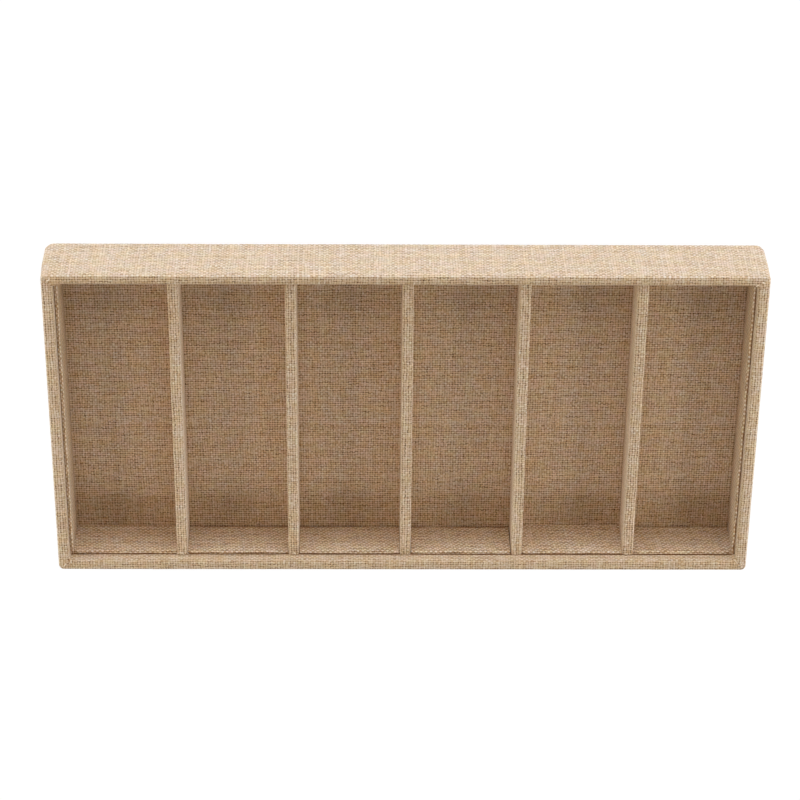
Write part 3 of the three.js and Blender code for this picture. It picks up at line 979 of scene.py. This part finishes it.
looseYarns = makeYarnEnds()
print("loose yarns", len(looseYarns.data.polygons), "faces")


# felt pad under the base

feltLow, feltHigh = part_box("underside_felt")
pad = dict(spacing=0.003, ripple=0.00006, rippleScale=90.0, ragged=0.00018, raggedScales=(300.0, 310.0))


def makePad():
    countX = round((feltHigh.x - feltLow.x) / pad["spacing"])
    countY = round((feltHigh.y - feltLow.y) / pad["spacing"])
    points, faces, places = [], [], []
    scaleX, scaleY = pad["raggedScales"]
    for i in range(countX + 1):
        for j in range(countY + 1):
            at = Vector((feltLow.x + (feltHigh.x - feltLow.x) * i / countX,
                         feltLow.y + (feltHigh.y - feltLow.y) * j / countY, feltLow.z))
            if i in (0, countX) or j in (0, countY):
                at.x += noise.noise(at * scaleX) * pad["ragged"]
                at.y += noise.noise(at * scaleY + Vector((5, 1, 0))) * pad["ragged"]
            at.z += abs(noise.noise(at * pad["rippleScale"])) * pad["ripple"]
            points.append(at)
    for i in range(countX):
        for j in range(countY):
            corners = [(i, j), (i, j + 1), (i + 1, j + 1), (i + 1, j)]  # faces down
            faces.append(tuple(a * (countY + 1) + b for a, b in corners))
            places.append(tuple(tuple(points[a * (countY + 1) + b][:2]) for a, b in corners))
    obj = clothObject("underside_pad", points, faces, places, feltMat)
    thicken(obj, feltHigh.z - feltLow.z - pad["ripple"] * 2)
    return obj


feltPad = makePad()
print("underside pad", len(feltPad.data.polygons), "faces")


# boards and cards keep their solids

for name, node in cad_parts.items():
    if "_board" in name or "_card" in name:
        mat = boardMat if "_board" in name else cardMat
        for slot in node.material_slots:
            slot.material = mat


# what rides where

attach(outerWrap, "root")
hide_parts("outer_cover")
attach(looseYarns, "root")
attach(floorCloth, "root")
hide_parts("floor_cover")
for piece, cut, node, core in foldedPieces:
    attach(piece, "root")
    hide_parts(node)
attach(feltPad, "root")
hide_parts("underside_felt")
print("pieces ride on the frame")


# studio

studio = dict(
    floorSize=8.0,
    floorColour=(0.86, 0.855, 0.845, 1),
    shadowShare=0.12,  # how much of the floor's own shading the camera sees
    white=1.08,
    sky=0.04,
    skyColour=(1.0, 1.0, 1.0, 1),
)
# the photo's light: a cool wide lamp low at the front, a warmer one above it, a soft one behind,
# and a low and a near lamp at each end
lamps = [
    dict(name="front_low", place=(0.0, -1.241, 0.152), size=(1.6, 0.28), power=10.85,
         colour=(0.876, 1.0, 1.20)),
    dict(name="front_high", place=(0.0, -1.024, 0.717), size=(1.6, 0.5), power=3.68,
         colour=(1.136, 1.0, 0.917)),
    dict(name="rear_high", place=(0.0, 0.884, 0.884), size=(1.4, 0.5), power=4.46,
         colour=(1.059, 1.0, 1.0)),
    dict(name="right_low", place=(1.207, 0.0, 0.324), size=(1.0, 0.4), power=4.65,
         colour=(0.884, 1.0, 0.897)),
    dict(name="left_low", place=(-1.207, 0.0, 0.324), size=(1.0, 0.4), power=5.47,
         colour=(0.894, 1.0, 1.096)),
    dict(name="right_near", place=(0.678, 0.0, 0.424), size=(0.6, 0.3), power=1.01,
         colour=(1.18, 1.0, 0.86)),
    dict(name="left_near", place=(-0.678, 0.0, 0.424), size=(0.6, 0.3), power=1.49,
         colour=(1.034, 1.0, 0.922)),
]


def makeFloorPlane():
    mesh = bpy.data.meshes.new("studio_floor")
    h = studio["floorSize"] / 2
    mesh.from_pydata([(-h, -h, 0), (h, -h, 0), (h, h, 0), (-h, h, 0)], [], [(0, 1, 2, 3)])
    mat, pen = newMaterial("studio_paper")
    path = pen.add("ShaderNodeLightPath")
    seen = pen.maths("MAXIMUM", path.out("Is Camera Ray"), path.out("Is Glossy Ray"))
    seen = pen.maths("MAXIMUM", seen, path.out("Is Transmission Ray"))
    paper = pen.add("ShaderNodeBsdfDiffuse", None, {"Color": studio["floorColour"]})
    glow = pen.add("ShaderNodeEmission", None, {"Color": white, "Strength": studio["white"]})
    share = seen * (1 - studio["shadowShare"])
    both = pen.add("ShaderNodeMixShader", None, {0: share, 1: paper, 2: glow})
    pen.add("ShaderNodeOutputMaterial", None, {"Surface": both})
    mesh.materials.append(mat)
    obj = bpy.data.objects.new("studio_floor", mesh)
    bpy.context.collection.objects.link(obj)


def makeLamp(name, place, size, power, colour):
    lamp = bpy.data.lights.new(name, "AREA")
    lamp.shape = "RECTANGLE"
    lamp.size, lamp.size_y = size
    lamp.energy = power
    lamp.color = colour
    obj = bpy.data.objects.new(name, lamp)
    obj.location = place
    obj.rotation_euler = (-Vector(place)).to_track_quat("-Z", "Y").to_euler()  # aimed at the tray
    obj.visible_camera = False
    bpy.context.collection.objects.link(obj)


def makeSky():
    world = bpy.data.worlds.new("studio_sky")
    world.use_nodes = True
    world.node_tree.nodes.clear()
    pen = Wire(world.node_tree)
    path = pen.add("ShaderNodeLightPath")
    seen = pen.maths("MAXIMUM", path.out("Is Camera Ray"), path.out("Is Transmission Ray"))
    strength = seen * (1 - studio["sky"]) + studio["sky"]
    colour = pen.mix(seen, studio["skyColour"], white)
    light = pen.add("ShaderNodeBackground", None, {"Color": colour, "Strength": strength})
    pen.add("ShaderNodeOutputWorld", None, {"Surface": light})
    bpy.context.scene.world = world


makeFloorPlane()
for lamp in lamps:
    makeLamp(**lamp)
makeSky()

view = dict(
    place=(0.02230, -0.75685, 1.24900),
    turn=(-31.3717, -0.62185, -179.48399),
    lens=126.684,
    sensor=36.0,
)
camera = bpy.data.cameras.new("photo_view")
camera.lens = view["lens"]
camera.sensor_width = view["sensor"]
cameraObject = bpy.data.objects.new("photo_view", camera)
cameraObject.location = view["place"]
cameraObject.rotation_euler = Euler([math.radians(a) for a in view["turn"]], "XYZ")
bpy.context.collection.objects.link(cameraObject)
bpy.context.scene.camera = cameraObject
bpy.context.scene.view_settings.view_transform = "Standard"
